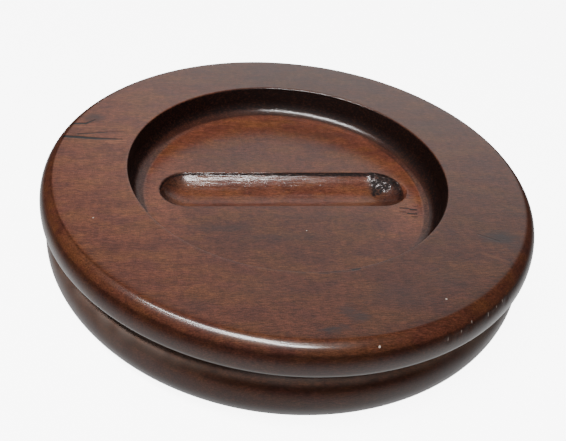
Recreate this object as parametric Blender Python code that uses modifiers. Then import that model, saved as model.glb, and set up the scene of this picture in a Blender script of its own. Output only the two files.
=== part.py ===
"""Dip pen holder: a round desk rest turned from two glued boards of stained wood.

The upper board is a ring with a rounded edge. The lower board is a thicker disc with a half-round
edge, and the two edges meet in a sharp waist. A round recess goes through the ring and just into the
disc, with a coved corner that crosses the glue line. A trough for the pen's nib end is routed along
the grain in the floor of the recess. Four felt pads are stuck underneath.

Frame: metres, +Z up, grain and trough along X, origin on the desk at the centre of the rest.
"""

import math

import bpy

# Gap kept between pieces that touch
TOUCH_GAP = 0.0003

# Heights, upwards from the desk
PAD_THICKNESS = 0.0015
BASE_THICKNESS = 0.0213
RING_THICKNESS = 0.0097
BASE_BOTTOM = PAD_THICKNESS
GLUE_LINE = BASE_BOTTOM + BASE_THICKNESS
RING_TOP = GLUE_LINE + RING_THICKNESS

# Ring: outer edge
RING_RADIUS = 0.0760
FLAT_TOP_RADIUS = 0.0726
RING_WIDEST_BELOW_TOP = 0.0076
SHOULDER_START = math.radians(73.5)
LIP_RADIUS = RING_TOP - RING_WIDEST_BELOW_TOP - GLUE_LINE

# Base: outer edge, a half ellipse
BASE_RADIUS = 0.0759
BASE_EDGE_DEPTH = 0.0100

# Recess
RECESS_RADIUS = 0.0494
RECESS_DEPTH = 0.0104
COVE_RADIUS = 0.0052
ARRIS = 0.0004
FLOOR = RING_TOP - RECESS_DEPTH

# Trough: a straight pass of a round-nosed cutter
CUTTER_RADIUS = 0.0111
TROUGH_DEPTH = 0.0048
TROUGH_TRAVEL = 0.0616

# Felt pads
PAD_RADIUS = 0.0080
PAD_RING_RADIUS = 0.0520
PAD_CORNER = 0.0003

# Segments
TURN_STEPS = 96
ARC_STEPS = 7
PAD_SIDES = 32
CUTTER_SIDES = 32

MERGE = 0.00001
SMOOTH_ANGLE = math.radians(32)

WOOD_STAIN = (0.075, 0.022, 0.012)
BASE_STAIN = (0.070, 0.020, 0.011)
FELT_BROWN = (0.020, 0.018, 0.016)


def clear_scene():
    """Remove every object of the scene."""
    for item in list(bpy.data.objects):
        bpy.data.objects.remove(item, do_unlink=True)


def make_collection(name):
    """A new collection linked to the scene."""
    collection = bpy.data.collections.new(name)
    bpy.context.scene.collection.children.link(collection)
    return collection


def make_material(name, colour, roughness, coat):
    """A Principled BSDF material; coat is the weight of the lacquer."""
    material = bpy.data.materials.new(name)
    material.use_nodes = True
    shader = material.node_tree.nodes["Principled BSDF"]
    shader.inputs["Base Color"].default_value = (*colour, 1.0)
    shader.inputs["Roughness"].default_value = roughness
    shader.inputs["Metallic"].default_value = 0.0
    shader.inputs["Coat Weight"].default_value = coat
    material.diffuse_color = (*colour, 1.0)
    return material


def arc(centre, radii, start, end, steps=ARC_STEPS):
    """Points (radius, height) on an ellipse about centre, from angle start to angle end."""
    points = []
    for step in range(steps + 1):
        angle = start + (end - start) * step / steps
        points.append((centre[0] + radii[0] * math.cos(angle), centre[1] + radii[1] * math.sin(angle)))
    return points


def cove_angle(height):
    """Angle on the recess's corner cove, below its centre, at which it passes this height."""
    return math.asin((height - (FLOOR + COVE_RADIUS)) / COVE_RADIUS)


def cove_points(start, end, steps):
    """Points of the cove between two angles: 0 is the foot of the wall, -90 degrees is the floor."""
    centre = (RECESS_RADIUS - COVE_RADIUS, FLOOR + COVE_RADIUS)
    return arc(centre, (COVE_RADIUS, COVE_RADIUS), start, end, steps)


def ring_profile():
    """Closed outline of the ring, from the recess's arris round the outer edge to the cove's toe."""
    widest = RING_TOP - RING_WIDEST_BELOW_TOP
    reach_up = RING_WIDEST_BELOW_TOP / math.sin(SHOULDER_START)
    reach_out = (RING_RADIUS - FLAT_TOP_RADIUS) / (1 - math.cos(SHOULDER_START))
    shoulder = arc((RING_RADIUS - reach_out, widest), (reach_out, reach_up), SHOULDER_START, 0)
    lip = arc((RING_RADIUS - LIP_RADIUS, widest), (LIP_RADIUS, LIP_RADIUS), 0, -math.pi / 2, 5)
    toe = cove_points(cove_angle(GLUE_LINE), 0, 4)
    arris = [(RECESS_RADIUS, RING_TOP - ARRIS), (RECESS_RADIUS + ARRIS, RING_TOP)]
    return arris + shoulder + lip[1:] + toe


def base_profile():
    """Outline of the base disc, from the middle of the floor out, round the edge and back to the axis."""
    top = GLUE_LINE - TOUCH_GAP
    middle = (top + BASE_BOTTOM) / 2
    edge_centre = (BASE_RADIUS - BASE_EDGE_DEPTH, middle)
    edge_radii = (BASE_EDGE_DEPTH, (top - BASE_BOTTOM) / 2)
    cove = cove_points(-math.pi / 2, cove_angle(top), 2)
    edge = arc(edge_centre, edge_radii, math.pi / 2, -math.pi / 2, 2 * ARC_STEPS)
    return [(0.0, FLOOR)] + cove + edge + [(0.0, BASE_BOTTOM)]


def turned(name, profile, closed, collection, material):
    """A solid of revolution about the Z axis from a profile of (radius, height) points."""
    edges = [(i, i + 1) for i in range(len(profile) - 1)]
    if closed:
        edges.append((len(profile) - 1, 0))
    mesh = bpy.data.meshes.new(name)
    mesh.from_pydata([(radius, 0.0, height) for radius, height in profile], edges, [])
    mesh.materials.append(material)
    solid = bpy.data.objects.new(name, mesh)
    collection.objects.link(solid)
    screw = solid.modifiers.new("turning", "SCREW")
    screw.axis = "Z"
    screw.angle = math.tau
    screw.steps = TURN_STEPS
    screw.render_steps = TURN_STEPS
    screw.use_smooth_shade = True
    screw.use_merge_vertices = True
    screw.merge_threshold = MERGE
    return solid


def shade(solid):
    """Smooth shading with the real edges kept sharp."""
    solid.data.shade_smooth()
    solid.data.set_sharp_from_angle(angle=SMOOTH_ANGLE)


def make_rim_ring(collection):
    """The upper board: a ring whose bore is the wall of the recess."""
    material = make_material("rim_ring_wood", WOOD_STAIN, 0.38, 0.6)
    return turned("rim_ring", ring_profile(), True, collection, material)


def make_trough_cutter(collection):
    """The sweep of the round-nosed cutter: a lying cylinder with a ball at each end."""
    drop = CUTTER_RADIUS - TROUGH_DEPTH
    profile = arc((0.0, 0.0), (CUTTER_RADIUS, CUTTER_RADIUS), math.pi / 2, 0, CUTTER_SIDES // 4)
    half = TROUGH_TRAVEL / 2
    outline = [(radius, height + half) for radius, height in profile]
    outline += [(radius, -height - half) for radius, height in reversed(profile)]
    cutter = turned("trough_cutter", outline, False, collection, None)
    turning = cutter.modifiers["turning"]
    turning.steps = CUTTER_SIDES
    turning.render_steps = CUTTER_SIDES
    cutter.rotation_euler = (0.0, math.pi / 2, 0.0)
    cutter.location = (0.0, 0.0, FLOOR + drop)
    cutter.hide_render = True
    cutter.display_type = "WIRE"
    return cutter


def make_base_disc(collection, cutters):
    """The lower board: the disc with the floor of the recess and the trough."""
    material = make_material("base_disc_wood", BASE_STAIN, 0.38, 0.6)
    disc = turned("base_disc", base_profile(), False, collection, material)
    cut = disc.modifiers.new("trough", "BOOLEAN")
    cut.operation = "DIFFERENCE"
    cut.solver = "EXACT"
    cut.object = make_trough_cutter(cutters)
    return disc


def make_felt_pad(name, angle, material, collection):
    """One round self-adhesive pad under the base, with an eased edge."""
    bpy.ops.mesh.primitive_cylinder_add(
        vertices=PAD_SIDES,
        radius=PAD_RADIUS,
        depth=PAD_THICKNESS - TOUCH_GAP,
        location=(
            PAD_RING_RADIUS * math.cos(angle),
            PAD_RING_RADIUS * math.sin(angle),
            (PAD_THICKNESS - TOUCH_GAP) / 2,
        ),
    )
    pad = bpy.context.object
    pad.name = name
    pad.data.name = name
    pad.data.materials.append(material)
    for owner in list(pad.users_collection):
        owner.objects.unlink(pad)
    collection.objects.link(pad)
    shade(pad)
    bevel = pad.modifiers.new("eased_edge", "BEVEL")
    bevel.width = PAD_CORNER
    bevel.segments = 1
    bevel.limit_method = "ANGLE"
    return pad


def make_felt_pads(collection):
    """Four pads, evenly spaced and clear of the grain direction."""
    material = make_material("felt", FELT_BROWN, 0.95, 0.0)
    names = ["felt_pad_back_right", "felt_pad_back_left", "felt_pad_front_left", "felt_pad_front_right"]
    for index, name in enumerate(names):
        make_felt_pad(name, math.radians(45 + 90 * index), material, collection)


def main():
    clear_scene()
    parts = make_collection("dip_pen_holder")
    cutters = make_collection("cutters")
    make_rim_ring(parts)
    make_base_disc(parts, cutters)
    make_felt_pads(parts)


main()
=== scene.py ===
"""Looks of the dip pen holder: two turned boards of stained, lacquered wood with a routed trough.

The two boards are finer meshes than the CAD solids, in the same place and of the same size, with the
small things a hand-finished turning has: eased arrises, chatter in the trough, torn grain at its ends,
cracks at the rim's left and dents on the edge. Lengths are in metres unless a comment says otherwise.
+X is to the right along the grain and the trough, -Y to the front.
"""

import math

import bpy
import numpy as np
from mathutils import Matrix, Quaternion, Vector


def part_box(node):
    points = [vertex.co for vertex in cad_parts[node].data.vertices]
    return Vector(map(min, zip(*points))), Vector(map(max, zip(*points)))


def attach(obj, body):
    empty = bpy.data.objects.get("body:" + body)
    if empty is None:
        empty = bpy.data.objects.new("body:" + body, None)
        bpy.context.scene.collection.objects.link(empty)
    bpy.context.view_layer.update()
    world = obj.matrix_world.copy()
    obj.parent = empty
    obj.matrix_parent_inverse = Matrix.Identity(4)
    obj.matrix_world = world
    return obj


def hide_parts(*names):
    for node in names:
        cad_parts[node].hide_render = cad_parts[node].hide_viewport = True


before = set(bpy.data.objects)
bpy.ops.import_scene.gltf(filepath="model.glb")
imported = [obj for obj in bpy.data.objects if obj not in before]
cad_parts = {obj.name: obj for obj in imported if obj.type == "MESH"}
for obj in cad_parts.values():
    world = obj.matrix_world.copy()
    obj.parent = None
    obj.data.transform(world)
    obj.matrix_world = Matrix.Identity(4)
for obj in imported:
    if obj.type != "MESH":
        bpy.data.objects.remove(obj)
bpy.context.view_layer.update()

MM = 0.001


def mm(*values):
    """Millimetres as metres."""
    return tuple(value * MM for value in values)


# Levels and radii of the CAD model, and the middle of its glue line
RING_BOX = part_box("rim_ring")
BASE_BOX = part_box("base_disc")
RING_TOP = RING_BOX[1].z
RING_RADIUS = RING_BOX[1].x
BASE_RADIUS = BASE_BOX[1].x
BASE_BOTTOM = BASE_BOX[0].z
SEAM = (RING_BOX[0].z + BASE_BOX[1].z) / 2
SEAM_GAP = 0.00001

# The ring's edge: a small roll where the flat top ends, the shoulder and side, and the lip under them
ROLL_START_RADIUS = 0.0711
ROLL_SIZE = 0.0034
SHOULDER_START = math.radians(70)
WIDEST_BELOW_TOP = 0.0076
LIP_RADIUS = RING_TOP - WIDEST_BELOW_TOP - SEAM
ARRIS = 0.00055

# The base's edge: half an ellipse with a soft corner where the sheltered slope under the ring ends
BASE_EDGE_DEPTH = 0.0100
CORNER_RISE = 0.26 * MM
CORNER_STARTS = mm(12.5, 18.4)
CORNER_ENDS = mm(18.8, 20.8)

# The recess and the trough
RECESS_RADIUS = 0.0494
COVE_RADIUS = 0.0052
FLOOR = RING_TOP - 0.0104
CUTTER_RADIUS = 0.0111
TROUGH_DEPTH = 0.0048
TROUGH_HALF = 0.0308
TROUGH_ARRIS = 0.00016
TROUGH_HALF_WIDTH = math.sqrt(CUTTER_RADIUS**2 - (CUTTER_RADIUS - TROUGH_DEPTH) ** 2)
UNDER_TROUGH = FLOOR - TROUGH_DEPTH - MM  # below the recess's surfaces, above the underside

# Columns and rings of the meshes
RING_COLUMNS = 600
SIDE_COLUMNS = 200
END_COLUMNS = 72
PAD_COLUMNS = 64
TROUGH_RINGS = 38
TROUGH_SWEEP = 0.86
TROUGH_EDGE_RINGS = mm(0.08, 0.17, 0.28, 0.45, 0.75, 1.2)
FLOOR_RINGS = 26
SHARP_ANGLE = math.radians(50)

# Lightness painted into the wood: the rim's as waves round the board, partly stain and partly painted light
# falling off towards the right; then the edges', with painted light in the shaded waist; the floor's, the
# trough's
RIM_TONE = (0.53, -0.17, 0.095, 0.03)
SHOULDER_TONE = 0.80
SIDE_TONE = 0.46
STREAK_TONE = 0.26
WAIST_PAINTED_LIGHT_TONE = 0.76
FLOOR_MIDDLE_TONE = 0.60
FLOOR_EDGE_TONE = 0.86
FLOOR_FRONT_DARKER = 0.14
TROUGH_TONE = 0.74

# Painted sheen, a pale grey painted where the lacquer mirrors the paper (lifting the shaded waist too), and
# how dull the lacquer is, each from 0 to 1; polish takes the fine relief off the edges
SHEEN_IN_WAIST = 0.15
SHEEN_ASIDE = 0.13
SHEEN_ON_LIP = 0.10
DULL_EDGE = 0.55
DULL_TROUGH = 0.05
DULL_TORN = 0.45
DULL_SHOULDER = 0.42
EDGE_POLISH = 0.75

# Bands over which the looks change, each from none to full. Radii first
TOP_ENDS = mm(71.0, 72.4)
RING_POLISH_STARTS = mm(70.0, 71.5)
SHOULDER_RADII = mm(70.0, 72.0)
LIP_RADII = mm(73.0, 74.0)
BASE_OUTSIDE = mm(58.0, 64.0)
FLOOR_EDGE = mm(30.0, 41.0)
# Heights
SHOULDER_HEIGHTS = mm(28.0, 30.0)
LIP_ENDS = mm(23.4, 25.6)
WAIST_SHEEN = mm(17.6, 20.8)
ASIDE_SHEEN = mm(12.5, 19.0)
WAIST_PAINTED_LIGHT_STARTS = mm(18.5, 18.9)
STREAK_STARTS = mm(16.4, 17.1)
STREAK_ENDS = mm(18.4, 18.9)
# Depths below the ring's top, and distances towards the front
SIDE_STARTS = mm(1.7, 2.6)
FLOOR_EDGE_FADES = mm(14.0, 32.0)
FLOOR_FRONT = mm(4.0, 24.0)
# Angles round the axis in degrees: -90 is the front
STREAK_LEFT = (-150.0, -122.0)
STREAK_RIGHT = (-80.0, -66.0)


# -------- noise and shape helpers


# Odd multipliers and the 32-bit limit that turn whole numbers into random-looking ones
HASH_X, HASH_Y, HASH_Z, HASH_SEED = np.array([374761393, 668265263, 2246822519, 3266489917], dtype=np.uint64)
WORD = np.uint64(0xFFFFFFFF)


def scrambled(mixed):
    """Random-looking numbers from -1 to 1, always the same for the same whole numbers."""
    mixed = mixed & WORD
    mixed = ((mixed ^ (mixed >> np.uint64(15))) * HASH_Z) & WORD
    mixed = ((mixed ^ (mixed >> np.uint64(13))) * HASH_SEED) & WORD
    mixed ^= mixed >> np.uint64(16)
    return mixed.astype(float) / float(WORD) * 2.0 - 1.0


def value_noise(points, seed):
    """Smooth noise from -1 to 1 at each of N points; one lattice cell is one unit."""
    cell = np.floor(points).astype(np.int64)
    part = points - cell
    part = part * part * (3.0 - 2.0 * part)
    total = np.zeros(len(points))
    for corner in np.ndindex(2, 2, 2):
        lattice = (cell + corner).astype(np.uint64)
        mixed = lattice[:, 0] * HASH_X + lattice[:, 1] * HASH_Y + lattice[:, 2] * HASH_Z
        share = np.where(corner, part, 1.0 - part).prod(axis=1)
        total += scrambled(mixed + np.uint64(seed) * HASH_SEED) * share
    return total


def noise_of(size, points, seed):
    """Noise from -1 to 1 with cells of this size in millimetres."""
    return value_noise(points / (size * MM), seed)


def smooth_step(value, low, high):
    """0 below low, 1 above high, smooth between."""
    t = np.clip((value - low) / (high - low), 0.0, 1.0)
    return t * t * (3.0 - 2.0 * t)


def fade(value, low, high):
    """1 below low, 0 above high, smooth between."""
    return 1.0 - smooth_step(value, low, high)


def bell(value, middle, width):
    """1 at the middle, falling off smoothly on both sides."""
    return np.exp(-(((value - middle) / width) ** 2))


def facing(points):
    """Distance from the axis, and how much each point faces left and front, from 0 to 1."""
    x, y = points[:, 0], points[:, 1]
    radius = np.hypot(x, y).clip(MM)
    return radius, np.clip(-x / radius, 0.0, 1.0), np.clip(-y / radius, 0.0, 1.0)


def arc(centre, radii, start, end, steps):
    """Points (radius, height) on an ellipse about centre, from one angle to another."""
    angles = np.linspace(start, end, steps + 1)
    across = centre[0] + radii[0] * np.cos(angles)
    up = centre[1] + radii[1] * np.sin(angles)
    return np.stack([across, up], axis=1)


def line(start, end, steps):
    """Points on a straight line, without its two ends."""
    t = np.linspace(0.0, 1.0, steps + 1)[1:-1, None]
    return np.array(start) * (1.0 - t) + np.array(end) * t


# -------- meshes


def revolve(profile, turns):
    """Points of a profile of (radius, height) turned about the axis: one ring for each of its points."""
    radius, height = profile[:, :1], profile[:, 1:]
    height = np.broadcast_to(height, (len(profile), len(turns)))
    return np.stack([radius * np.cos(turns), radius * np.sin(turns), height], axis=2).reshape(-1, 3)


def quads_between(rings, columns, closed):
    """Faces of a grid of rings, each of the same number of columns and closed on itself."""
    count = rings if closed else rings - 1
    near = np.arange(count)[:, None] * columns
    far = (np.arange(1, count + 1) % rings)[:, None] * columns
    here = np.arange(columns)[None, :]
    after = (here + 1) % columns
    faces = np.stack([near + here, near + after, far + after, far + here], axis=2)
    return faces.reshape(-1, 4)


def new_piece(name, points, faces):
    """An object with a smooth mesh in the scene's collection."""
    mesh = bpy.data.meshes.new(name)
    mesh.from_pydata(points.tolist(), [], [list(face) for face in faces])
    mesh.validate()
    mesh.shade_smooth()
    piece = bpy.data.objects.new(name, mesh)
    bpy.context.scene.collection.objects.link(piece)
    return piece


def vertex_places(mesh):
    """The places of the vertices."""
    places = np.empty(len(mesh.vertices) * 3)
    mesh.vertices.foreach_get("co", places)
    return places.reshape(-1, 3)


def place_vertices(mesh, places):
    """Moves the vertices to new places."""
    mesh.vertices.foreach_set("co", places.ravel())
    mesh.update()


def shift_along_normals(piece, amount):
    """Moves each vertex along its normal."""
    mesh = piece.data
    normals = np.empty(len(mesh.vertices) * 3)
    mesh.vertex_normals.foreach_get("vector", normals)
    place_vertices(mesh, vertex_places(mesh) + normals.reshape(-1, 3) * amount[:, None])


def keep_in_box(piece, box):
    """Moves back the few vertices that a displacement has pushed out of the CAD part's box."""
    low, high = np.array(box[0]), np.array(box[1])
    place_vertices(piece.data, np.clip(vertex_places(piece.data), low, high))


def sealed(box):
    """A board's box, opened by half the glue line's width, so that the two boards meet."""
    low, high = Vector(box[0]), Vector(box[1])
    if low.z > BASE_BOTTOM + MM:
        low.z = SEAM
    else:
        high.z = SEAM
    return low, high


def sharpen(piece):
    """Keeps the shading crisp at the glue faces' edges."""
    piece.data.set_sharp_from_angle(angle=SHARP_ANGLE)


def paint(piece, name, values):
    """Stores one number per vertex for the piece's material."""
    attribute = piece.data.attributes.new(name, "FLOAT", "POINT")
    attribute.data.foreach_set("value", np.clip(values, 0.0, 1.0).astype(np.float32))


# -------- the ring


def ring_profile():
    """Closed outline of the ring: arris, flat top, shoulder, side, lip, glue face, cove and wall."""
    roll_drop = ROLL_SIZE / 5
    roll_reach = ROLL_SIZE * 0.7
    side_rise = (WIDEST_BELOW_TOP - roll_drop) / math.sin(SHOULDER_START) ** 2
    side_run = RING_RADIUS - ROLL_START_RADIUS - roll_reach
    slope = side_rise * math.cos(SHOULDER_START) * (1 - math.cos(SHOULDER_START)) / side_run
    roll_tilt = math.atan(slope)
    roll_radius = ROLL_SIZE / 2 / math.sin(roll_tilt)
    roll_centre = (ROLL_START_RADIUS, RING_TOP - roll_radius)
    roll = arc(roll_centre, (roll_radius, roll_radius), math.pi / 2, math.pi / 2 - roll_tilt, steps=12)
    reach_out = (RING_RADIUS - roll[-1][0]) / (1 - math.cos(SHOULDER_START))
    widest = RING_TOP - WIDEST_BELOW_TOP
    reach_up = (roll[-1][1] - widest) / math.sin(SHOULDER_START)
    side_centre = (RING_RADIUS - reach_out, widest)
    side = arc(side_centre, (reach_out, reach_up), SHOULDER_START, 0, steps=34)
    lip = arc((RING_RADIUS - LIP_RADIUS, widest), (LIP_RADIUS, LIP_RADIUS), 0, -math.pi / 2, steps=16)
    cove = cove_arc(SEAM + SEAM_GAP / 2, None, steps=34)
    arris_centre = (RECESS_RADIUS + ARRIS, RING_TOP - ARRIS)
    arris = arc(arris_centre, (ARRIS, ARRIS), math.pi, math.pi / 2, steps=7)
    flat = line(arris[-1], roll[0], steps=30)
    face = line(lip[-1], cove[0], steps=8)
    wall = line(cove[-1], arris[0], steps=10)
    lip[-1][1] = cove[0][1]
    return np.concatenate([arris, flat, roll, side[1:], lip[1:], face, cove, wall])


def cove_arc(low, high, steps):
    """The recess's corner cove from one height to another; None stands for the cove's own end."""
    centre = (RECESS_RADIUS - COVE_RADIUS, FLOOR + COVE_RADIUS)
    start = -math.pi / 2 if low is None else math.asin((low - centre[1]) / COVE_RADIUS)
    end = 0.0 if high is None else math.asin((high - centre[1]) / COVE_RADIUS)
    return arc(centre, (COVE_RADIUS, COVE_RADIUS), start, end, steps)


def make_rim_ring():
    """The upper board."""
    profile = ring_profile()
    points = revolve(profile, np.arange(RING_COLUMNS) * math.tau / RING_COLUMNS)
    piece = new_piece("rim_ring_turned", points, quads_between(len(profile), RING_COLUMNS, True)[:, ::-1])
    outside = smooth_step(np.hypot(points[:, 0], points[:, 1]), RECESS_RADIUS + MM, RECESS_RADIUS + 3 * MM)
    shift_along_normals(piece, outside * turning_wobble(points, seed=3) - edge_dents(points))
    keep_in_box(piece, sealed(RING_BOX))
    paint_ring(piece, points)
    sharpen(piece)
    return piece


def paint_ring(piece, points):
    """The ring's stain, painted light and gloss: black in the recess, uneven round the top with painted
    light falling off to the right, deeper on the edge, with painted shade where the flat top ends and a
    painted sheen on the lip.
    """
    radius, left, front = facing(points)
    z = points[:, 2]
    on_wall = fade(radius, RECESS_RADIUS + 0.02 * MM, RECESS_RADIUS + 0.25 * MM)
    paint(piece, "dark_stain_and_shade", on_wall * cove_stain(points))
    # The tone carries painted light too: the rim's light falloff and painted shade where the flat top ends.
    paint(piece, "tone", rim_tone(points) * edge_tone(points) * flat_edge_painted_shade(points))
    paint(piece, "chatter", np.zeros(len(points)))
    # Painted sheen: pale grey painted along the lip, where its edge mirrors the paper.
    paint(piece, "painted_sheen", SHEEN_ON_LIP * (smooth_step(radius, *LIP_RADII) * fade(z, *LIP_ENDS)))
    shoulder = smooth_step(radius, *SHOULDER_RADII) * smooth_step(z, *SHOULDER_HEIGHTS)
    paint(piece, "dull", DULL_SHOULDER * (2.0 * left * front) * shoulder)
    paint(piece, "relief", 1.0 - EDGE_POLISH * smooth_step(radius, *RING_POLISH_STARTS))


def cove_stain(points):
    """How far the black of the recess's wall reaches down its corner cove: lower at the left and right."""
    x, y, z = points.T
    aside = smooth_step(np.abs(x) / np.hypot(x, y).clip(MM), 0.70, 0.95)
    height = z + 0.80 * MM * aside * smooth_step(z, FLOOR + 0.01 * MM, FLOOR + 0.12 * MM)
    low = smooth_step(height, FLOOR - 0.05 * MM, FLOOR + 0.90 * MM)
    return 0.62 * low + 0.38 * smooth_step(height, FLOOR + 1.4 * MM, FLOOR + 2.8 * MM)


def edge_tone(points):
    """Lightness of the turned edges: a paler shoulder, a dark side and a darker streak on the base, and
    painted light in the shaded waist under the ring's lip.
    """
    x, y, z = points.T
    radius, left, front = facing(points)
    below = RING_TOP - z + 0.12 * MM * noise_of(2.5, points, seed=61)
    shoulder = SHOULDER_TONE - 0.20 * left + 0.16 * front
    tone = 1.0 - (1.0 - shoulder) * smooth_step(radius, *TOP_ENDS)
    tone += (SIDE_TONE - tone) * smooth_step(below, *SIDE_STARTS)
    tone *= 1.0 - 0.18 * bell(below, 2.7 * MM, 0.4 * MM)
    ragged = z + (0.25 + 0.35 * front) * MM * noise_of(1.3, points, seed=62)
    # Painted light: the waist under the ring's lip lies in the lamp's shade and is painted lighter here.
    tone += (WAIST_PAINTED_LIGHT_TONE - tone) * ((z < SEAM) * smooth_step(z, *WAIST_PAINTED_LIGHT_STARTS))
    streak = smooth_step(ragged, *STREAK_STARTS) * fade(ragged, *STREAK_ENDS)
    turn = np.degrees(np.arctan2(y, x))
    in_front = smooth_step(turn, *STREAK_LEFT) * fade(turn, *STREAK_RIGHT)
    tone += (STREAK_TONE - tone) * streak * in_front
    return np.where(radius > RECESS_RADIUS + MM, tone, 1.0)


def flat_edge_painted_shade(points):
    """Painted shade where the flat top turns down into the roll: a sharp dark line at the left, a soft band
    at the front.
    """
    x, y, _ = points.T
    radius = np.hypot(x, y)
    fine = bell(radius, 71.8 * MM, 0.28 * MM) * smooth_step(-x, 38.0 * MM, 62.0 * MM)
    soft = bell(radius, 70.9 * MM, 0.7 * MM) * smooth_step(-y, 30.0 * MM, 55.0 * MM)
    return (1.0 - 0.40 * fine) * (1.0 - 0.22 * soft)


def rim_tone(points):
    """Lightness by angle round the board, palest at the left, deepest at the right: partly stain, partly
    painted light standing in for the light falling off across the board.
    """
    turn = np.arctan2(points[:, 1], points[:, 0])
    waves = RIM_TONE[0] + RIM_TONE[1] * np.cos(turn) + RIM_TONE[2] * np.cos(2.0 * turn)
    return waves + RIM_TONE[3] * np.sin(3.0 * turn)


def turning_wobble(points, seed):
    """Slow hand-sanded unevenness, a few hundredths of a millimetre."""
    return (0.030 * noise_of(14, points, seed) + 0.008 * noise_of(4, points, seed + 1)) * MM


# Dents in the ring's edge, most of them at the front right: angle in degrees, and in millimetres the
# distance below the top, the dent's size and its depth. Their middles lie on one radius
DENTS = (
    (-67.3, 3.5, 0.7, 0.14),
    (-65.0, 3.3, 0.5, 0.12),
    (-62.0, 2.8, 0.8, 0.16),
    (-56.2, 3.0, 0.6, 0.14),
    (-54.3, 3.0, 0.5, 0.12),
    (-50.0, 2.8, 0.8, 0.16),
    (152.0, 3.0, 0.7, 0.12),
    (63.0, 3.8, 0.8, 0.12),
)
DENT_RADIUS_MM = 75.4
DENT_STRETCH = 0.6


def edge_dents(points):
    """Depth of the knocks on the ring's rounded edge."""
    depth = np.zeros(len(points))
    for angle, below, size, deep in DENTS:
        turn = math.radians(angle)
        across, along = DENT_RADIUS_MM * math.cos(turn), DENT_RADIUS_MM * math.sin(turn)
        away = points / MM - np.array([across, along, RING_TOP / MM - below])
        away[:, 2] *= DENT_STRETCH
        depth += deep * MM * bell(np.sqrt((away**2).sum(axis=1)), 0.0, size)
    return depth


# -------- the base


def stadium(distance):
    """Points at a distance from the trough's middle line, anticlockwise from the right-hand tip."""
    quarter = np.linspace(0.0, math.pi / 2, END_COLUMNS // 2, endpoint=False)
    across = np.linspace(1.0, -1.0, SIDE_COLUMNS, endpoint=False)
    corner = np.linspace(math.pi / 2, math.pi, END_COLUMNS // 2, endpoint=False)
    right = np.stack([TROUGH_HALF + distance * np.cos(quarter), distance * np.sin(quarter)], axis=1)
    top = np.stack([TROUGH_HALF * across, np.full(SIDE_COLUMNS, distance)], axis=1)
    left = np.stack([-TROUGH_HALF + distance * np.cos(corner), distance * np.sin(corner)], axis=1)
    upper = np.concatenate([right, top, left])
    return np.concatenate([upper, -upper])


def column_turns():
    """The angle about the axis of each column where the rings are circles."""
    tip = math.atan2(TROUGH_HALF_WIDTH, TROUGH_HALF)
    ends = np.linspace(0.0, tip, END_COLUMNS // 2, endpoint=False)
    side = np.linspace(tip, math.pi - tip, SIDE_COLUMNS, endpoint=False)
    last = np.linspace(math.pi - tip, math.pi, END_COLUMNS // 2, endpoint=False)
    half = np.concatenate([ends, side, last])
    return np.concatenate([half, half + math.pi])


def distance_to_middle(x, y):
    """Distance in plan from the trough's middle line."""
    return np.hypot(np.maximum(np.abs(x) - TROUGH_HALF, 0.0), y)


def trough_depth(distance):
    """Depth below the floor at a distance from the trough's middle line, with an eased arris."""
    inside = np.minimum(distance, CUTTER_RADIUS * 0.995)
    cut = np.sqrt(CUTTER_RADIUS**2 - inside**2) - (CUTTER_RADIUS - TROUGH_DEPTH)
    return 0.5 * (cut + np.sqrt(cut**2 + TROUGH_ARRIS**2))


def ragged_ends(x, y):
    """How far the torn end grain moves the trough's edge outwards, by place."""
    places = np.stack([x, y, np.zeros_like(x)], axis=1) / MM
    coarse = value_noise(places / 1.3, seed=21)
    fine = value_noise(places / 0.5, seed=22)
    turn = np.degrees(np.arctan2(y, np.maximum(x - TROUGH_HALF, 0.0)))
    pushed_out = 1.15 * bell(turn, -12.0, 30.0)
    left_standing = 1.05 * bell(turn, 58.0, 28.0)
    right = smooth_step(x, TROUGH_HALF - 1.5 * MM, TROUGH_HALF + 3.0 * MM)
    left = smooth_step(-x, TROUGH_HALF + 1.0 * MM, TROUGH_HALF + 5.0 * MM)
    torn = right * (pushed_out - left_standing + 0.20 * coarse + 0.09 * fine)
    return (torn + left * 0.07 * fine) * MM


def floor_points():
    """Rings of the trough and the floor, from near the middle line out to the cove."""
    sweep = np.linspace(0.03, 1.0, TROUGH_RINGS) * math.pi / 2 * TROUGH_SWEEP
    inner = TROUGH_HALF_WIDTH * np.sin(sweep) / math.sin(TROUGH_SWEEP / 2 * math.pi)
    edge = TROUGH_HALF_WIDTH + np.array(TROUGH_EDGE_RINGS)
    rings = [stadium(distance) for distance in np.concatenate([inner, edge])]
    start = rings[-1]
    turns = column_turns()
    circle = (RECESS_RADIUS - COVE_RADIUS) * np.stack([np.cos(turns), np.sin(turns)], axis=1)
    for t in np.linspace(0.0, 1.0, FLOOR_RINGS + 1)[1:]:
        rings.append(start * (1.0 - t) + circle * t)
    x, y = np.array(rings).reshape(-1, 2).T
    torn = distance_to_middle(x, y) - ragged_ends(x, y)
    return np.stack([x, y, FLOOR - trough_depth(torn)], axis=1)


def base_profile():
    """Outline of the base from the cove's foot round the edge to the middle of the underside."""
    top = SEAM - SEAM_GAP / 2
    cove = cove_arc(None, top, steps=24)[1:]
    centre = (BASE_RADIUS - BASE_EDGE_DEPTH, (top + BASE_BOTTOM) / 2)
    radii = (BASE_EDGE_DEPTH, (top - BASE_BOTTOM) / 2)
    edge = arc(centre, radii, math.pi / 2, -math.pi / 2, steps=60)
    height = edge[:, 1]
    edge[:, 0] += CORNER_RISE * (smooth_step(height, *CORNER_STARTS) * fade(height, *CORNER_ENDS))
    face = line(cove[-1], edge[0], steps=6)
    under = line(edge[-1], (1.5 * MM, BASE_BOTTOM), steps=16)
    return np.concatenate([cove, face, edge, under])


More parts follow.
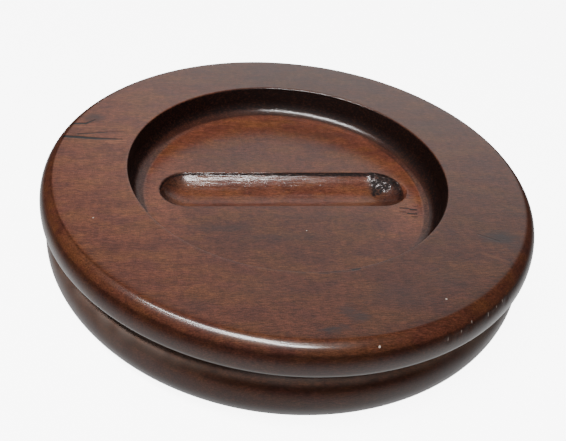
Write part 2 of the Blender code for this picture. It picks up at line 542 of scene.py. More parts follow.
def make_base_disc():
    """The lower board, with the floor and the trough."""
    turns = column_turns()
    columns = len(turns)
    rings = np.concatenate([floor_points(), revolve(base_profile(), turns)])
    points = np.concatenate([rings, [[0.0, 0.0, BASE_BOTTOM]]])
    hub = len(rings)
    last = hub - columns
    faces = quads_between(hub // columns, columns, False).tolist()
    faces += middle_strip(columns)
    faces += [[last + i, last + (i + 1) % columns, hub] for i in range(columns)]
    piece = new_piece("base_disc_turned", points, faces)
    shift_along_normals(piece, base_relief(points))
    keep_in_box(piece, sealed(BASE_BOX))
    paint_base(piece, points)
    sharpen(piece)
    return piece


def middle_strip(columns):
    """Faces that close the innermost ring along the trough's middle line."""
    half = columns // 2
    faces = [[0, columns - 1, 1]]
    for i in range(1, half - 1):
        faces.append([i, columns - i, columns - i - 1, i + 1])
    faces.append([half - 1, half + 1, half])
    return faces


def base_relief(points):
    """Displacement of the base: unevenness, cutter chatter along the trough and torn ends."""
    x, y, z = points.T
    on_top = smooth_step(z, UNDER_TROUGH, FLOOR - TROUGH_DEPTH)
    near_axis = np.hypot(x, y) < RECESS_RADIUS
    off_wall = fade(distance_to_middle(x, y), TROUGH_HALF_WIDTH - 0.5 * MM, TROUGH_HALF_WIDTH)
    round_section = np.arcsin(np.clip(y / CUTTER_RADIUS, -1.0, 1.0)) * CUTTER_RADIUS
    along = np.stack([x / (5.0 * MM), round_section / (0.95 * MM), np.zeros_like(x)], axis=1)
    short = np.stack([x / (1.6 * MM), round_section / (0.5 * MM), np.ones_like(x)], axis=1)
    chatter = straight_part(x) * (0.034 * value_noise(along, seed=31) + 0.010 * value_noise(short, seed=32))
    ends = smooth_step(np.abs(x), TROUGH_HALF, TROUGH_HALF + 4 * MM)
    pitted = ends * 0.020 * noise_of(1.5, points, seed=33)
    seamless = smooth_step(np.abs(z - SEAM), 0.0, 1.5 * MM)
    in_trough = on_top * near_axis * off_wall
    return in_trough * (chatter + pitted) * MM + seamless * turning_wobble(points, seed=11)


def straight_part(x):
    """1 along the trough's straight part, 0 at its two round ends."""
    return fade(np.abs(x), TROUGH_HALF - 2 * MM, TROUGH_HALF + MM)


def trough_mask(points):
    """1 in the trough, 0 elsewhere."""
    distance = distance_to_middle(points[:, 0], points[:, 1])
    shallow = (points[:, 2] > UNDER_TROUGH) * (distance < TROUGH_HALF_WIDTH + MM)
    return shallow * fade(distance, TROUGH_HALF_WIDTH - 0.3 * MM, TROUGH_HALF_WIDTH)


def paint_base(piece, points):
    """The base's stain, painted light and gloss: the floor, the trough with its charred ends and its edge
    lines, and the edge with its painted sheen and light.
    """
    x, y, z = points.T
    radius = np.hypot(x, y)
    in_recess = (radius < RECESS_RADIUS) & (z > UNDER_TROUGH)
    beyond = radius > RECESS_RADIUS + MM
    in_trough = trough_mask(points)
    outer = smooth_step(radius, *BASE_OUTSIDE)
    torn = smooth_step(x, TROUGH_HALF, TROUGH_HALF + 2.0 * MM)
    paint(piece, "chatter", in_trough * straight_part(x) * smooth_step(y, 0.5 * MM, 3.5 * MM))
    paint(piece, "dull", DULL_EDGE * outer + in_trough * (DULL_TROUGH + DULL_TORN * torn))
    paint(piece, "relief", 1.0 - EDGE_POLISH * outer)
    # Painted sheen and light: pale grey painted in the shaded waist under the lip and at the left and right
    # of the edge, where the lacquer mirrors the paper.
    in_waist = smooth_step(z, *WAIST_SHEEN) * beyond
    aside = smooth_step(np.abs(x) / radius.clip(MM), 0.25, 0.80) * smooth_step(z, *ASIDE_SHEEN) * beyond
    patchy = 0.8 + 0.3 * noise_of(3.0, points, seed=63)
    paint(piece, "painted_sheen", patchy * (SHEEN_IN_WAIST * in_waist + SHEEN_ASIDE * aside))
    # The trough's charred ends, and the lines along its edges, which are partly black stain and partly
    # painted shade.
    charred_and_shaded = np.maximum(charred_ends(points), trough_edge_line(points))
    paint(piece, "dark_stain_and_shade", in_recess * np.maximum(charred_and_shaded, cove_stain(points)))
    inside_tone = floor_tone(radius, y) * (1.0 - in_trough) + TROUGH_TONE * in_trough
    paint(piece, "tone", np.where(in_recess, inside_tone, rim_tone(points) * edge_tone(points)))


def floor_tone(radius, y):
    """Lightness of the recess's floor: pale next to the cove but for the front, deeper in front."""
    bright = smooth_step(radius, *FLOOR_EDGE) * (1.0 - 0.85 * smooth_step(-y, *FLOOR_EDGE_FADES))
    front = smooth_step(-y, *FLOOR_FRONT) * (1.0 - bright)
    return FLOOR_MIDDLE_TONE + (FLOOR_EDGE_TONE - FLOOR_MIDDLE_TONE) * bright - FLOOR_FRONT_DARKER * front


def charred_ends(points):
    """Black, torn end grain where the cutter came down and was lifted out."""
    x, y, _ = points.T
    distance = distance_to_middle(x, y)
    share = distance / TROUGH_HALF_WIDTH
    speckle = 0.5 + 0.5 * noise_of(0.55, points, seed=41)
    patches = 0.5 + 0.5 * noise_of(1.7, points, seed=42)
    cut = fade(distance, TROUGH_HALF_WIDTH + 0.15 * MM, TROUGH_HALF_WIDTH + 0.5 * MM)
    left = smooth_step(-x, TROUGH_HALF - 2.0 * MM, TROUGH_HALF + 4.0 * MM) * smooth_step(share, 0.30, 0.85)
    left = left * (0.62 + 0.38 * speckle) * (0.7 + 0.3 * patches)
    right_part = smooth_step(x, TROUGH_HALF - 1.5 * MM, TROUGH_HALF + 1.5 * MM)
    back = smooth_step(y + 0.6 * (x - TROUGH_HALF), -3.5 * MM, 1.5 * MM)
    right = right_part * smooth_step(share, 0.62, 0.93) * np.maximum(back, 0.25) * (0.72 + 0.28 * speckle)
    torn_back = right_part * smooth_step(y - 0.3 * (x - TROUGH_HALF), 0.2 * MM, 2.0 * MM)
    right = np.maximum(right, torn_back * (0.55 + 0.55 * smooth_step(speckle, 0.20, 0.42)))
    bowl = smooth_step(x, TROUGH_HALF - 0.5 * MM, TROUGH_HALF + 3.5 * MM) * 0.60
    return cut * np.maximum(np.maximum(left, right), bowl)


def trough_edge_line(points):
    """The black line under the back edge of the trough, broader to the right, and a thin front one. The back
    line is black stain at the right and painted shade at the left, where it keeps the highlight off the top
    of the wall; the front line is painted shade on the arris that faces away.
    """
    x, y, _ = points.T
    inner = TROUGH_HALF_WIDTH - distance_to_middle(x, y)
    broad = (0.68 + 0.22 * smooth_step(x, -8.0 * MM, 8.0 * MM)) * MM
    line_back = (y > 0.0) * fade(inner, 0.6 * broad, 1.3 * broad)
    line_front = (y < 0.0) * fade(inner, 0.35 * MM, 0.80 * MM) * 0.8
    arris_left_bare = 0.16 * MM * fade(x, -6.0 * MM, 4.0 * MM) * (y > 0.0)
    on_wall = smooth_step(inner - arris_left_bare, -0.12 * MM, 0.02 * MM)
    return on_wall * np.maximum(line_back, line_front)


# -------- felt pads


def make_felt_pad(node):
    """A round self-adhesive pad: a soft-edged disc with a slightly uneven face."""
    low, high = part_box(node)
    centre = (low + high) / 2
    radius = (high.x - low.x) / 2
    corner = 0.25 * (high.z - low.z)
    top = arc((radius - corner, high.z - corner), (corner, corner), math.pi / 2, 0, steps=3)
    foot = arc((radius - corner, low.z + corner), (corner, corner), 0, -math.pi / 2, steps=3)
    spans = np.linspace(0.12, 1.0, 9)[:-1] * (radius - corner)
    upper = np.stack([spans, np.full(len(spans), high.z)], axis=1)
    lower = np.stack([spans[::-1], np.full(len(spans), low.z)], axis=1)
    profile = np.concatenate([upper, top, line(top[-1], foot[0], steps=3), foot, lower])
    turns = np.arange(PAD_COLUMNS) * math.tau / PAD_COLUMNS
    rings = revolve(profile, turns) + np.array([centre.x, centre.y, 0.0])
    hubs = [[centre.x, centre.y, high.z], [centre.x, centre.y, low.z]]
    count = len(rings)
    last = count - PAD_COLUMNS
    faces = quads_between(len(profile), PAD_COLUMNS, False)[:, ::-1].tolist()
    faces += [[i, (i + 1) % PAD_COLUMNS, count] for i in range(PAD_COLUMNS)]
    faces += [[last + (i + 1) % PAD_COLUMNS, last + i, count + 1] for i in range(PAD_COLUMNS)]
    points = np.concatenate([rings, hubs])
    piece = new_piece(node + "_soft", points, faces)
    shift_along_normals(piece, 0.04 * MM * (noise_of(0.9, points, seed=51) - 1.0))
    return piece


# -------- materials


class Nodes:
    """Short calls for building a node tree."""

    def __init__(self, tree):
        self.tree = tree

    def add(self, kind, **settings):
        """A new node; settings are the node's own properties."""
        node = self.tree.nodes.new(kind)
        for name, value in settings.items():
            setattr(node, name, value)
        return node

    def link(self, source, target):
        """Joins a socket, or sets the target socket to a plain value."""
        if isinstance(source, bpy.types.NodeSocket):
            self.tree.links.new(source, target)
        else:
            target.default_value = source

    def fill(self, node, values):
        """Links or sets a node's first inputs in turn."""
        for value, socket in zip(values, node.inputs):
            self.link(value, socket)
        return node

    def math(self, operation, *values, clamp=False):
        """One Math node."""
        return self.fill(self.add("ShaderNodeMath", operation=operation, use_clamp=clamp), values).outputs[0]

    def vector(self, operation, *values, output="Vector"):
        """One Vector Math node."""
        return self.fill(self.add("ShaderNodeVectorMath", operation=operation), values).outputs[output]

    def measure(self, operation, *values):
        """A distance, length or dot product."""
        return self.vector(operation, *values, output="Value")

    def scale(self, vector, amount):
        """A vector times a number."""
        scaled = self.vector("SCALE", vector)
        self.link(amount, scaled.node.inputs["Scale"])
        return scaled

    def texture(self, kind, place, sizes):
        """A texture node whose cells have the given sizes in millimetres along X, Y and Z."""
        node = self.add(kind)
        self.link(self.vector("MULTIPLY", place, tuple(1.0 / size for size in sizes)), node.inputs["Vector"])
        node.inputs["Scale"].default_value = 1.0
        return node

    def noise(self, place, sizes, detail=2.0, roughness=0.5, distortion=0.0, output="Fac"):
        """Soft noise of the given cell sizes."""
        node = self.texture("ShaderNodeTexNoise", place, sizes)
        node.inputs["Detail"].default_value = detail
        node.inputs["Roughness"].default_value = roughness
        node.inputs["Distortion"].default_value = distortion
        return node.outputs[output]

    def cells(self, place, sizes):
        """Distance to, and the random colour of, the nearest of scattered points."""
        node = self.texture("ShaderNodeTexVoronoi", place, sizes)
        return node.outputs["Distance"], node.outputs["Color"]

    def ramp(self, value, low, high, start=0.0, end=1.0):
        """Maps a value smoothly from low..high to start..end."""
        node = self.add("ShaderNodeMapRange", interpolation_type="SMOOTHSTEP")
        return self.fill(node, [value, low, high, start, end]).outputs["Result"]

    def mix(self, share, first, second, blend="MIX"):
        """Mixes two colours."""
        node = self.add("ShaderNodeMix", data_type="RGBA", blend_type=blend)
        self.link(share, node.inputs["Factor"])
        self.link(first, node.inputs["A"])
        self.link(second, node.inputs["B"])
        return node.outputs["Result"]

    def attribute(self, name):
        """A number stored on the vertices."""
        return self.add("ShaderNodeAttribute", attribute_name=name).outputs["Fac"]

    def grey(self, value):
        """A colour of one brightness, for multiplying."""
        return self.fill(self.add("ShaderNodeCombineColor"), [value] * 3).outputs["Color"]


def rgb(red, green, blue):
    """A colour socket's four numbers."""
    return (red, green, blue, 1.0)


def new_material(name):
    """An empty node material with its nodes, shader and place in millimetres."""
    material = bpy.data.materials.new(name)
    material.use_nodes = True
    nodes = Nodes(material.node_tree)
    shader = material.node_tree.nodes["Principled BSDF"]
    here = nodes.add("ShaderNodeTexCoord").outputs["Object"]
    return material, nodes, shader, nodes.scale(here, 1.0 / MM)


# Marks in the boards, in millimetres: start, end, half width at the start and at the end, strength
RIM_STROKES = (
    ((-71.4, 22.2), (-64.4, 22.4), 0.75, 0.6, 1.0),
    ((-64.4, 22.4), (-61.6, 24.8), 0.6, 0.32, 0.95),
    ((-63.0, 22.9), (-58.6, 23.4), 0.3, 0.2, 0.45),
    ((-70.4, 14.3), (-60.4, 13.1), 0.95, 0.8, 1.0),
    ((-60.4, 13.1), (-51.8, 12.7), 0.8, 0.18, 0.95),
    ((-66.0, 15.7), (-57.0, 17.0), 0.45, 0.32, 0.8),
    ((-57.0, 17.0), (-50.6, 17.7), 0.25, 0.12, 0.6),
    ((9.8, -49.1), (11.9, -48.7), 0.42, 0.3, 0.8),
    ((1.0, -50.3), (9.8, -49.3), 0.16, 0.2, 0.45),
    ((48.6, -35.6), (53.4, -38.6), 0.35, 0.3, 0.4),
)
RIM_PALE_STROKES = (
    ((-57.0, 11.4), (-50.4, 11.9), 0.3, 0.22, 0.55),
    ((-56.0, 10.4), (-50.6, 10.8), 0.24, 0.18, 0.4),
    ((47.0, -43.4), (52.4, -47.0), 0.9, 0.6, 0.1),
    ((-67.5, 20.0), (-58.0, 20.6), 0.4, 0.3, 0.3),
)
FLOOR_STROKES = (
    ((36.2, -10.3), (38.8, -10.6), 0.38, 0.28, 0.9),
    ((39.3, -11.1), (41.3, -11.4), 0.44, 0.34, 1.0),
    ((38.0, -13.1), (40.6, -13.4), 0.42, 0.32, 1.0),
    ((35.6, -12.3), (37.4, -12.5), 0.24, 0.18, 0.7),
    ((38.7, -14.7), (40.3, -14.9), 0.26, 0.2, 0.85),
    ((40.6, -9.4), (41.9, -9.5), 0.22, 0.16, 0.7),
)
# Pale specks and, at the front right of the rounded edge, small knocks: place, radius, strength
RIM_SPECKS = (
    (-57.3, -27.5, 0.24, 0.8),
    (30.9, -59.8, 0.24, 0.8),
    (10.8, -73.0, 0.24, 0.8),
    (29.0, -69.4, 0.2, 0.22),
    (32.8, -67.5, 0.18, 0.22),
    (35.9, -65.3, 0.22, 0.26),
    (41.6, -62.3, 0.24, 0.26),
    (44.5, -60.1, 0.18, 0.2),
    (46.8, -58.3, 0.24, 0.26),
)
FLOOR_SPECKS = ((4.2, -21.2, 0.2, 0.7),)

# Soft grey clouds in the stain, in millimetres: middle, half length along X, half width, strength
RIM_CLOUDS = (
    (-62.0, 26.2, 3.6, 2.6, 0.7),
    (54.6, -37.0, 5.0, 3.0, 1.0),
    (57.4, -40.6, 3.2, 2.4, 0.6),
    (5.2, -62.6, 1.9, 1.7, 0.75),
    (7.6, -65.0, 2.6, 1.8, 0.8),
    (0.2, -69.0, 2.6, 0.9, 0.95),
    (3.6, -67.8, 1.8, 0.9, 0.55),
    (20.0, -58.5, 8.0, 4.5, 0.4),
    (33.0, -53.0, 7.0, 4.0, 0.3),
    (53.5, 21.9, 7.0, 4.0, 0.3),
    (-14.0, -55.0, 9.0, 4.0, 0.2),
    (-30.0, -60.0, 5.0, 2.4, 0.25),
)
FLOOR_CLOUDS = (
    (-22.0, -20.0, 11.0, 1.6, 0.45),
    (-4.0, -24.0, 13.0, 1.8, 0.35),
    (8.0, -14.0, 14.0, 1.6, 0.3),
    (-20.0, -4.6, 4.0, 1.6, 0.45),
    (-30.0, 22.0, 4.0, 2.0, 0.35),
    (20.0, 33.0, 7.0, 2.4, 0.4),
    (-14.0, 16.0, 12.0, 4.0, 0.2),
)
# Where a mark starts to fade and where it has gone, as shares of its half size
CLOUD_FADE = (0.25, 1.55)
SPECK_FADE = (0.6, 1.3)
STROKE_FADE = (0.45, 1.15)


def strongest(nodes, reaches, fade_range):
    """The strongest of several marks at each point, from each mark's (reach, strength)."""
    total = 0.0
    for reach, strength in reaches:
        total = nodes.math("MAXIMUM", total, nodes.ramp(reach, *fade_range, strength, 0.0))
    return total


def flat_spot(nodes, place, x, y, half_length, half_width):
    """Distance from a point in plan, as a share of an ellipse's two half sizes."""
    away = nodes.vector("SUBTRACT", place, (x, y, 0.0))
    shares = (1.0 / half_length, 1.0 / half_width, 0.0)
    return nodes.measure("LENGTH", nodes.vector("MULTIPLY", away, shares))


def clouds_mask(nodes, place, clouds):
    """Soft-edged oval blotches."""
    reaches = [(flat_spot(nodes, place, *cloud[:4]), cloud[4]) for cloud in clouds]
    return strongest(nodes, reaches, CLOUD_FADE)


def specks_mask(nodes, place, specks):
    """Tiny round specks."""
    reaches = [(flat_spot(nodes, place, x, y, size, size), strength) for x, y, size, strength in specks]
    return strongest(nodes, reaches, SPECK_FADE)


def stroke_mask(nodes, place, strokes):
    """Lines drawn from point to point, tapering from one width to another, soft at the edge."""
    flat = nodes.vector("MULTIPLY", place, (1.0, 1.0, 0.0))
    reaches = []
    for start, end, width_start, width_end, strength in strokes:
        course = (end[0] - start[0], end[1] - start[1], 0.0)
        square = course[0] ** 2 + course[1] ** 2
        away = nodes.vector("SUBTRACT", flat, (*start, 0.0))
        share = nodes.math("DIVIDE", nodes.measure("DOT_PRODUCT", away, course), square, clamp=True)
        distance = nodes.measure("DISTANCE", away, nodes.scale(course, share))
        width = nodes.math("MULTIPLY_ADD", share, width_end - width_start, width_start)
        reaches.append((nodes.math("DIVIDE", distance, width), strength))
    return strongest(nodes, reaches, STROKE_FADE)


def wandering(nodes, base, place, size, amount):
    """base, moved by a slow random shift in plan that depends on place, to roughen drawn shapes."""
    shift = nodes.noise(place, (3 * size, size, size), 3.0, output="Color")
    centred = nodes.vector("SUBTRACT", shift, (0.5, 0.5, 0.5))
    return nodes.vector("ADD", base, nodes.vector("MULTIPLY", centred, (amount * 2, amount, 0.0)))


RED_BROWN = rgb(0.126, 0.039, 0.021)
WARM_BROWN = rgb(0.138, 0.048, 0.020)
DARK_BROWN = rgb(0.098, 0.030, 0.0195)
CLOUD_BROWN = rgb(0.022, 0.013, 0.0125)
MARK_BLACK = rgb(0.005, 0.004, 0.004)
NEAR_BLACK = rgb(0.0050, 0.0018, 0.0016)
PALE_MARK = rgb(0.250, 0.095, 0.045)
# Pale grey of the real specks, also used for the painted sheen
DUST_AND_SHEEN = rgb(0.50, 0.42, 0.36)

# Cell sizes of the wood's patterns in millimetres along X, Y and Z
BLOTCH_SIZES = (9.0, 5.5, 5.5)
WARMTH_SIZES = (14.0, 7.0, 7.0)
PORE_SIZES = (1.7, 0.36, 0.36)
UNEVEN_SIZES = (1.1, 0.5, 0.5)
CHATTER_SIZES = (6.0, 0.75, 0.75)

# Patterns of lightness: whether one follows the wandering grain, its cell sizes in millimetres, the
# noise's detail and roughness, and the span of the noise with the lightness at the span's two ends
PATTERNS = {
    "band": (True, (60.0, 2.6, 2.6), 2.0, 0.5, (0.30, 0.70, 0.94, 1.06)),
    "streak": (True, (6.0, 0.50, 0.50), 3.0, 0.6, (0.30, 0.70, 0.90, 1.10)),
    "fibre": (False, (1.4, 0.24, 0.24), 2.0, 0.55, (0.30, 0.70, 0.66, 1.34)),
    "speckle": (False, (0.36, 0.26, 0.26), 1.0, 0.5, (0.30, 0.70, 0.78, 1.22)),
    "patch": (False, (3.2, 1.5, 1.5), 3.0, 0.6, (0.30, 0.70, 0.92, 1.08)),
    "figure": (True, (1.7, 8.0, 8.0), 1.0, 0.5, (0.35, 0.65, 0.93, 1.07)),
}

BASE_SPECULAR = 0.15
COAT_ROUGHNESS = 0.17
COAT_IOR = 1.5
FINE_BUMP = 0.034 * MM
CHATTER_BUMP = 0.110 * MM


def add_bump(nodes, height, distance, below=None):
    """A Bump node over another one, if there is one; returns the bent normal."""
    bump = nodes.add("ShaderNodeBump")
    bump.inputs["Strength"].default_value = 1.0
    bump.inputs["Distance"].default_value = distance
    nodes.link(height, bump.inputs["Height"])
    if below is not None:
        nodes.link(below, bump.inputs["Normal"])
    return bump.outputs["Normal"]


def stain_colour(nodes, place, blotch):
    """The stain's hue: blotches of dark and red brown with warmer patches."""
    warmth = nodes.noise(nodes.vector("ADD", place, (40.0, 0.0, 9.0)), WARMTH_SIZES, 3.0, 0.6)
    colour = nodes.mix(nodes.ramp(blotch, 0.34, 0.62), DARK_BROWN, RED_BROWN)
    return nodes.mix(nodes.ramp(warmth, 0.44, 0.66, 0.0, 0.85), colour, WARM_BROWN)


def wood_shade(nodes, place, grain_place):
    """Lightness of the grain, with the painted tone (which holds painted light and shade), and the noise of
    each pattern in it.
    """
    shade = nodes.attribute("tone")
    noises = {}
    for name, (wanders, sizes, detail, roughness, span) in PATTERNS.items():
        noises[name] = nodes.noise(grain_place if wanders else place, sizes, detail, roughness)
        shade = nodes.math("MULTIPLY", shade, nodes.ramp(noises[name], *span))
    return shade, noises


def pore_mask(nodes, grain_place):
    """Short dark pores along the grain, at about half of the scattered points."""
    distance, kind = nodes.cells(grain_place, PORE_SIZES)
    chosen = nodes.fill(nodes.add("ShaderNodeSeparateColor"), [kind]).outputs[0]
    return nodes.math("MULTIPLY", nodes.ramp(distance, 0.10, 0.30, 1.0, 0.0), nodes.ramp(chosen, 0.35, 0.55))


def lacquer(nodes, shader, blotch, dark):
    """Satin lacquer: missing on charred wood and on the painted shade lines, and weaker where the dull
    attribute says so.
    """
    gloss = nodes.ramp(blotch, 0.3, 0.7, 0.34, 0.42)
    gloss = nodes.math("ADD", gloss, nodes.math("MULTIPLY", dark, 0.25), clamp=True)
    matt = nodes.math("MAXIMUM", nodes.ramp(dark, 0.50, 0.90), nodes.attribute("dull"))
    nodes.link(gloss, shader.inputs["Roughness"])
    nodes.link(BASE_SPECULAR, shader.inputs["Specular IOR Level"])
    nodes.link(nodes.math("SUBTRACT", 1.0, matt), shader.inputs["Coat Weight"])
    nodes.link(COAT_ROUGHNESS, shader.inputs["Coat Roughness"])
    nodes.link(COAT_IOR, shader.inputs["Coat IOR"])


def relief(nodes, shader, place, weights):
    """The surface's fine relief, a sum of (pattern, weight), under the cutter's chatter."""
    height = 0.0
    for pattern, weight in weights:
        height = nodes.math("ADD", height, nodes.math("MULTIPLY", pattern, weight))
    fine = add_bump(nodes, nodes.math("MULTIPLY", height, nodes.attribute("relief")), FINE_BUMP)
    chatter = nodes.math("MULTIPLY", nodes.noise(place, CHATTER_SIZES), nodes.attribute("chatter"))
    bumped = add_bump(nodes, chatter, CHATTER_BUMP, fine)
    nodes.link(bumped, shader.inputs["Normal"])
    nodes.link(bumped, shader.inputs["Coat Normal"])


def make_wood(name, offset, strokes, pale_strokes, clouds, specks):
    """Stained close-grained wood under satin lacquer, with the grain along X.

    offset moves the pattern, so that the two boards differ. The rest are the board's own marks.
    """
    material, nodes, shader, raw = new_material(name)
    place = nodes.vector("ADD", raw, offset)
    grain_place = wandering(nodes, place, place, 9.0, 1.6)
    cloud_place = wandering(nodes, raw, place, 1.2, 2.8)
    stroke_place = wandering(nodes, raw, place, 0.9, 0.34)

    blotch = nodes.noise(place, BLOTCH_SIZES, 4.0, 0.62)
    shade, noises = wood_shade(nodes, place, grain_place)
    colour = nodes.mix(1.0, stain_colour(nodes, place, blotch), nodes.grey(shade), "MULTIPLY")
    cloud = clouds_mask(nodes, cloud_place, clouds)
    cloud = nodes.math("MULTIPLY", cloud, nodes.ramp(noises["patch"], 0.25, 0.60, 0.72, 1.0))
    stroke = stroke_mask(nodes, stroke_place, strokes)
    pore = pore_mask(nodes, grain_place)
    speck = specks_mask(nodes, stroke_place, specks)
    uneven = nodes.ramp(nodes.noise(place, UNEVEN_SIZES, 2.0, 0.6), 0.32, 0.62, 0.72, 1.10)
    # Black stain and char, with the painted shade lines of the trough's edges.
    dark = nodes.math("MULTIPLY", nodes.attribute("dark_stain_and_shade"), uneven, clamp=True)
    layers = (
        (cloud, CLOUD_BROWN),
        (stroke_mask(nodes, stroke_place, pale_strokes), PALE_MARK),
        (stroke, MARK_BLACK),
        (nodes.math("MULTIPLY", pore, 0.40), CLOUD_BROWN),
        # painted sheen: pale grey where the lacquer mirrors the paper; the pale specks below are real marks
        (nodes.attribute("painted_sheen"), DUST_AND_SHEEN),
        (dark, NEAR_BLACK),
        (speck, DUST_AND_SHEEN),
    )
    for share, over in layers:
        colour = nodes.mix(share, colour, over)
    nodes.link(colour, shader.inputs["Base Color"])

    lacquer(nodes, shader, blotch, dark)
    weights = ((noises["fibre"], 0.55), (noises["speckle"], 0.55), (noises["streak"], 0.5))
    relief(nodes, shader, place, weights + ((pore, -0.35), (stroke, -1.5), (speck, 3.0)))
    return material


FELT_DARK = rgb(0.014, 0.012, 0.011)
FELT_BROWN = rgb(0.030, 0.026, 0.023)
FELT_HAIR = rgb(0.055, 0.048, 0.042)
CLUMP_SIZES = (1.6, 1.6, 1.6)
HAIR_SIZES = (0.9, 0.12, 0.3)
FELT_BUMP = 0.12 * MM


def make_felt():
    """Pressed dark felt: matted fibres, soft sheen."""
    material, nodes, shader, place = new_material("felt_pressed")
    clump = nodes.noise(place, CLUMP_SIZES, 4.0, 0.65)
    hair = nodes.noise(place, HAIR_SIZES, 3.0, 0.6, 1.5)
    colour = nodes.mix(nodes.ramp(clump, 0.3, 0.7), FELT_DARK, FELT_BROWN)
    colour = nodes.mix(nodes.ramp(hair, 0.45, 0.8, 0.0, 0.5), colour, FELT_HAIR)
    nodes.link(colour, shader.inputs["Base Color"])
    nodes.link(nodes.ramp(hair, 0.3, 0.7, 0.88, 1.0), shader.inputs["Roughness"])
    shader.inputs["Sheen Weight"].default_value = 0.35
    shader.inputs["Sheen Roughness"].default_value = 0.5
    nap = add_bump(nodes, nodes.math("ADD", clump, hair), FELT_BUMP)
    nodes.link(nap, shader.inputs["Normal"])
    return material


# -------- stage, light and camera


def direction(azimuth, elevation):
    """Unit vector towards an azimuth, anticlockwise from +X, and an elevation, both in degrees."""
    turn, rise = math.radians(azimuth), math.radians(elevation)
    return Vector((math.cos(turn) * math.cos(rise), math.sin(turn) * math.cos(rise), math.sin(rise)))


PALE = rgb(1.0, 1.0, 1.0)
PAPER = rgb(0.80, 0.80, 0.80)
FLOOR_GLOW = 7.0
BACKDROP_GLOW = 7.9


def make_floor():
    """A large pale disc under the rest. It glows, so that it stays pale beside dark wood."""
    bpy.ops.mesh.primitive_circle_add(vertices=128, radius=4.0, fill_type="NGON", location=(0, 0, 0))
    floor = bpy.context.object
    floor.name = "studio_floor"
    material, _, shader, _ = new_material("studio_floor_paper")
    shader.inputs["Base Color"].default_value = PAPER
    shader.inputs["Roughness"].default_value = 1.0
    shader.inputs["Specular IOR Level"].default_value = 0.0
    shader.inputs["Emission Color"].default_value = PALE
    shader.inputs["Emission Strength"].default_value = FLOOR_GLOW
    floor.data.materials.append(material)
    floor.visible_glossy = False
    floor.visible_diffuse = False


# Broad glows in the lacquer: azimuth, elevation, half width in degrees from full to none, radiance
ROOM_GLOWS = (
    (72.0, 27.0, 8.0, 40.0, 0.72),
    (-98.0, 50.0, 4.0, 13.0, 0.80),
)
PAPER_GLOWS = (
    (-95.0, -45.0, 30.0, 100.0, 0.62),
    (118.0, -36.0, 10.0, 50.0, 0.50),
    (42.0, -28.0, 8.0, 42.0, 0.45),
)
ROOM_DIM = 0.02
PAPER_GLOW = 0.30
PAPER_STARTS = (-0.05, -0.68)  # heights of a direction's tip
DIFFUSE_SHARE = 0.22


def glow_sum(nodes, towards, glows, total):
    """Adds soft round lobes of light to a total."""
    for azimuth, elevation, full, none, radiance in glows:
        dot = nodes.measure("DOT_PRODUCT", towards, direction(azimuth, elevation))
        edge = (math.cos(math.radians(none)), math.cos(math.radians(full)))
        total = nodes.math("ADD", total, nodes.ramp(dot, *edge, 0.0, radiance))
    return total


def make_room():
    """The dim room round the rest, with pale paper below; the camera itself sees a plain backdrop.

    The room shows fully in the lacquer, but it lights the wood under it only a little.
    """
    world = bpy.data.worlds.new("studio")
    bpy.context.scene.world = world
    world.use_nodes = True
    nodes = Nodes(world.node_tree)
    background = world.node_tree.nodes["Background"]
    towards = nodes.add("ShaderNodeTexCoord").outputs["Generated"]
    split = nodes.fill(nodes.add("ShaderNodeSeparateXYZ"), [towards])
    below = nodes.ramp(split.outputs["Z"], *PAPER_STARTS)
    paper = nodes.math("MULTIPLY", glow_sum(nodes, towards, PAPER_GLOWS, PAPER_GLOW), below)
    total = nodes.math("ADD", glow_sum(nodes, towards, ROOM_GLOWS, ROOM_DIM), paper)
    ray = nodes.add("ShaderNodeLightPath")
    seen = ray.outputs["Is Camera Ray"]
    glow = nodes.math("MULTIPLY", seen, BACKDROP_GLOW)
    hidden = nodes.math("MULTIPLY", total, nodes.math("SUBTRACT", 1.0, seen))
    lit = nodes.math("MULTIPLY", ray.outputs["Is Diffuse Ray"], DIFFUSE_SHARE - 1.0)
    hidden = nodes.math("MULTIPLY", hidden, nodes.math("ADD", lit, 1.0))
    nodes.link(nodes.math("ADD", glow, hidden), background.inputs["Strength"])
    background.inputs["Color"].default_value = PALE


def make_softbox(name, azimuth, elevation, distance, size, radiance, roll=0.0):
    """A rectangular lamp that faces the rest. Its power follows from the radiance wanted."""
    lamp = bpy.data.lights.new(name, "AREA")
    lamp.shape = "RECTANGLE"
    lamp.size, lamp.size_y = size
    lamp.energy = radiance * math.pi * size[0] * size[1]
    holder = bpy.data.objects.new(name, lamp)
    bpy.context.scene.collection.objects.link(holder)
    away = direction(azimuth, elevation)
    holder.location = Vector((0.0, 0.0, FLOOR)) + away * distance
    level = away.to_track_quat("Z", "Y")
    holder.rotation_euler = (level @ Quaternion((0.0, 0.0, 1.0), math.radians(roll))).to_euler()
    holder.visible_camera = False
    return holder


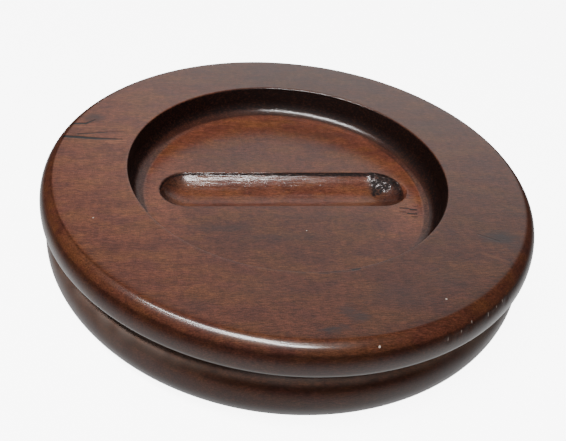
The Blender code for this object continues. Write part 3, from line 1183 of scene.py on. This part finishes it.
def make_lights():
    """A long, narrow softbox high in front, and a weak low fill that the lacquer does not show."""
    make_softbox("softbox_front", -121.0, 63.0, 0.80, size=(0.80, 0.085), radiance=69.0, roll=-9.0)
    fill = make_softbox("fill_front", -98.0, 16.0, 1.20, size=(1.20, 0.60), radiance=1.6)
    fill.visible_glossy = False


# The camera's place and aim, from the middle of the rim's top face
CAMERA_AWAY = Vector((-0.03550, -0.15909, 0.10596))
CAMERA_AIM = Vector((-0.02114, -0.03749, 0.0))
CAMERA_ROLL = math.radians(3.98)
CAMERA_LENS_MM = 38.90
SENSOR_WIDTH_MM = 36.0
CAMERA_SHIFT = (0.09655, 0.0358)


def make_camera():
    """A close camera, a little above and to the left, held slightly out of level."""
    data = bpy.data.cameras.new("camera")
    data.lens = CAMERA_LENS_MM
    data.sensor_width = SENSOR_WIDTH_MM
    data.shift_x, data.shift_y = CAMERA_SHIFT
    data.clip_start = 0.01
    data.clip_end = 20.0
    camera = bpy.data.objects.new("camera", data)
    bpy.context.scene.collection.objects.link(camera)
    camera.location = Vector((0.0, 0.0, RING_TOP)) + CAMERA_AWAY
    level = (CAMERA_AWAY - CAMERA_AIM).to_track_quat("Z", "Y").to_matrix()
    camera.rotation_euler = (level @ Matrix.Rotation(CAMERA_ROLL, 3, "Z")).to_euler()
    bpy.context.scene.camera = camera


# -------- assembly

# How far each board's pattern is moved, in millimetres, and its marks
RIM_OFFSET = (13.0, 5.0, 7.0)
RIM_MARKS = (RIM_STROKES, RIM_PALE_STROKES, RIM_CLOUDS, RIM_SPECKS)
BASE_OFFSET = (61.0, 47.0, 3.0)
BASE_MARKS = (FLOOR_STROKES, (), FLOOR_CLOUDS, FLOOR_SPECKS)


def place_piece(piece, node, material):
    """Gives a piece its material and puts it in its CAD node's stead."""
    piece.data.materials.append(material)
    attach(piece, "root")
    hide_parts(node)


def main():
    make_camera()
    make_floor()
    make_room()
    make_lights()
    ring = make_rim_ring()
    base = make_base_disc()
    place_piece(ring, "rim_ring", make_wood("rim_wood_stained", RIM_OFFSET, *RIM_MARKS))
    place_piece(base, "base_disc", make_wood("base_wood_stained", BASE_OFFSET, *BASE_MARKS))
    felt = make_felt()
    for node in sorted(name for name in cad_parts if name.startswith("felt_pad")):
        place_piece(make_felt_pad(node), node, felt)


main()
